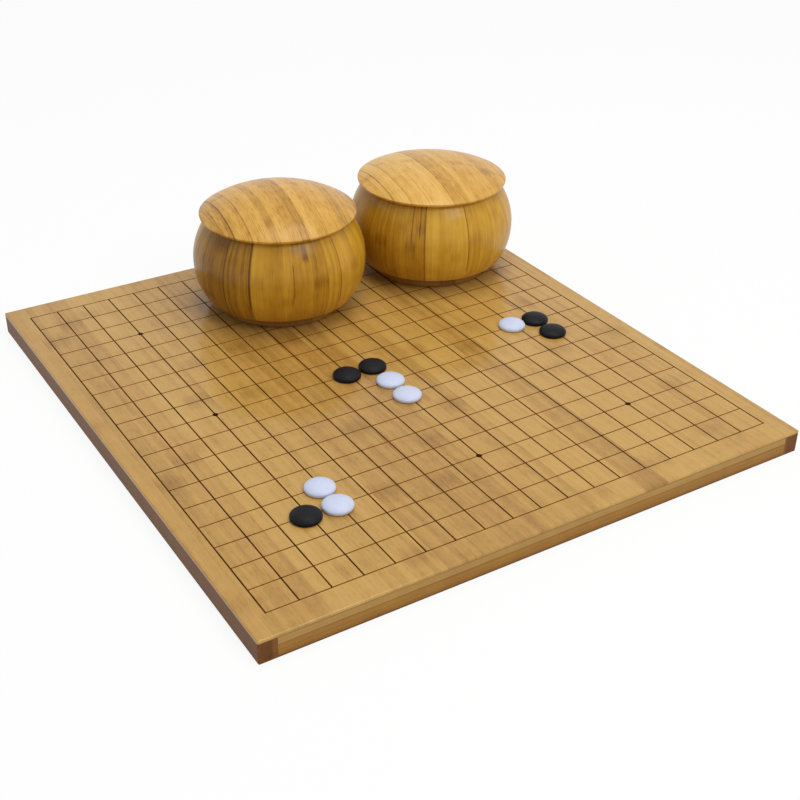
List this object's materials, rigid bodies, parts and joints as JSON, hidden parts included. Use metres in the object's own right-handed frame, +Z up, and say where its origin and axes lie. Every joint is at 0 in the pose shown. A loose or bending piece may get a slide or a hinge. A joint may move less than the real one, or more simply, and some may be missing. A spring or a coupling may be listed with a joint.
{
  "type": "go board with bowls and stones",
  "caption": "Flat bamboo go board with lidded bamboo bowls for the stones and a few stones on the grid.",
  "frame": {"origin": "middle of the board's underside, on the table", "axes": "+X across the board, +Y along it towards the bowls, +Z up"},
  "size_m": [0.436, 0.471, 0.1191],
  "materials": {
    "bamboo_face": "satin varnish over carbonised bamboo strips",
    "bamboo_upper_layer": "satin varnish",
    "bamboo_lower_layer": "satin varnish",
    "bamboo_edge_strip": "satin varnish, dark end grain",
    "line_ink": "dark brown printed ink",
    "bowl_bamboo": "gloss lacquer over vertical bamboo staves",
    "bowl_base_bamboo": "gloss lacquer",
    "lid_bamboo": "gloss lacquer over bamboo strips",
    "black_stone": "matte",
    "white_stone": "satin",
    "loose_black_stones": "matte",
    "loose_white_stones": "satin"
  },
  "bodies": {
    "board": {"top_panel": "bamboo_face", "upper_core": "bamboo_upper_layer", "lower_core": "bamboo_lower_layer", "left_edge_strip": "bamboo_edge_strip", "right_edge_strip": "bamboo_edge_strip", "grid_lines": "line_ink", "star_points": "line_ink"},
    "left_bowl": {"left_bowl_wall": "bowl_bamboo", "left_bowl_base": "bowl_base_bamboo", "left_bowl_black_stones": "loose_black_stones"},
    "left_lid": {"left_lid": "lid_bamboo"},
    "right_bowl": {"right_bowl_wall": "bowl_bamboo", "right_bowl_base": "bowl_base_bamboo", "right_bowl_white_stones": "loose_white_stones"},
    "right_lid": {"right_lid": "lid_bamboo"},
    "black_stone_1": {"black_stone_1": "black_stone"},
    "black_stone_2": {"black_stone_2": "black_stone"},
    "black_stone_3": {"black_stone_3": "black_stone"},
    "black_stone_4": {"black_stone_4": "black_stone"},
    "black_stone_5": {"black_stone_5": "black_stone"},
    "white_stone_1": {"white_stone_1": "white_stone"},
    "white_stone_2": {"white_stone_2": "white_stone"},
    "white_stone_3": {"white_stone_3": "white_stone"},
    "white_stone_4": {"white_stone_4": "white_stone"},
    "white_stone_5": {"white_stone_5": "white_stone"}
  },
  "joints": [
    {"name": "left_bowl_lift", "type": "slide", "parent": "board", "child": "left_bowl", "axis": [0, 0, 1], "range_m": [0, 0.15]},
    {"name": "left_lid_lift", "type": "slide", "parent": "left_bowl", "child": "left_lid", "axis": [0, 0, 1], "range_m": [0, 0.1]},
    {"name": "right_bowl_lift", "type": "slide", "parent": "board", "child": "right_bowl", "axis": [0, 0, 1], "range_m": [0, 0.15]},
    {"name": "right_lid_lift", "type": "slide", "parent": "right_bowl", "child": "right_lid", "axis": [0, 0, 1], "range_m": [0, 0.1]},
    {"name": "black_stone_1_lift", "type": "slide", "parent": "board", "child": "black_stone_1", "axis": [0, 0, 1], "range_m": [0, 0.08]},
    {"name": "black_stone_2_lift", "type": "slide", "parent": "board", "child": "black_stone_2", "axis": [0, 0, 1], "range_m": [0, 0.08]},
    {"name": "black_stone_3_lift", "type": "slide", "parent": "board", "child": "black_stone_3", "axis": [0, 0, 1], "range_m": [0, 0.08]},
    {"name": "black_stone_4_lift", "type": "slide", "parent": "board", "child": "black_stone_4", "axis": [0, 0, 1], "range_m": [0, 0.08]},
    {"name": "black_stone_5_lift", "type": "slide", "parent": "board", "child": "black_stone_5", "axis": [0, 0, 1], "range_m": [0, 0.08]},
    {"name": "white_stone_1_lift", "type": "slide", "parent": "board", "child": "white_stone_1", "axis": [0, 0, 1], "range_m": [0, 0.08]},
    {"name": "white_stone_2_lift", "type": "slide", "parent": "board", "child": "white_stone_2", "axis": [0, 0, 1], "range_m": [0, 0.08]},
    {"name": "white_stone_3_lift", "type": "slide", "parent": "board", "child": "white_stone_3", "axis": [0, 0, 1], "range_m": [0, 0.08]},
    {"name": "white_stone_4_lift", "type": "slide", "parent": "board", "child": "white_stone_4", "axis": [0, 0, 1], "range_m": [0, 0.08]},
    {"name": "white_stone_5_lift", "type": "slide", "parent": "board", "child": "white_stone_5", "axis": [0, 0, 1], "range_m": [0, 0.08]}
  ]
}
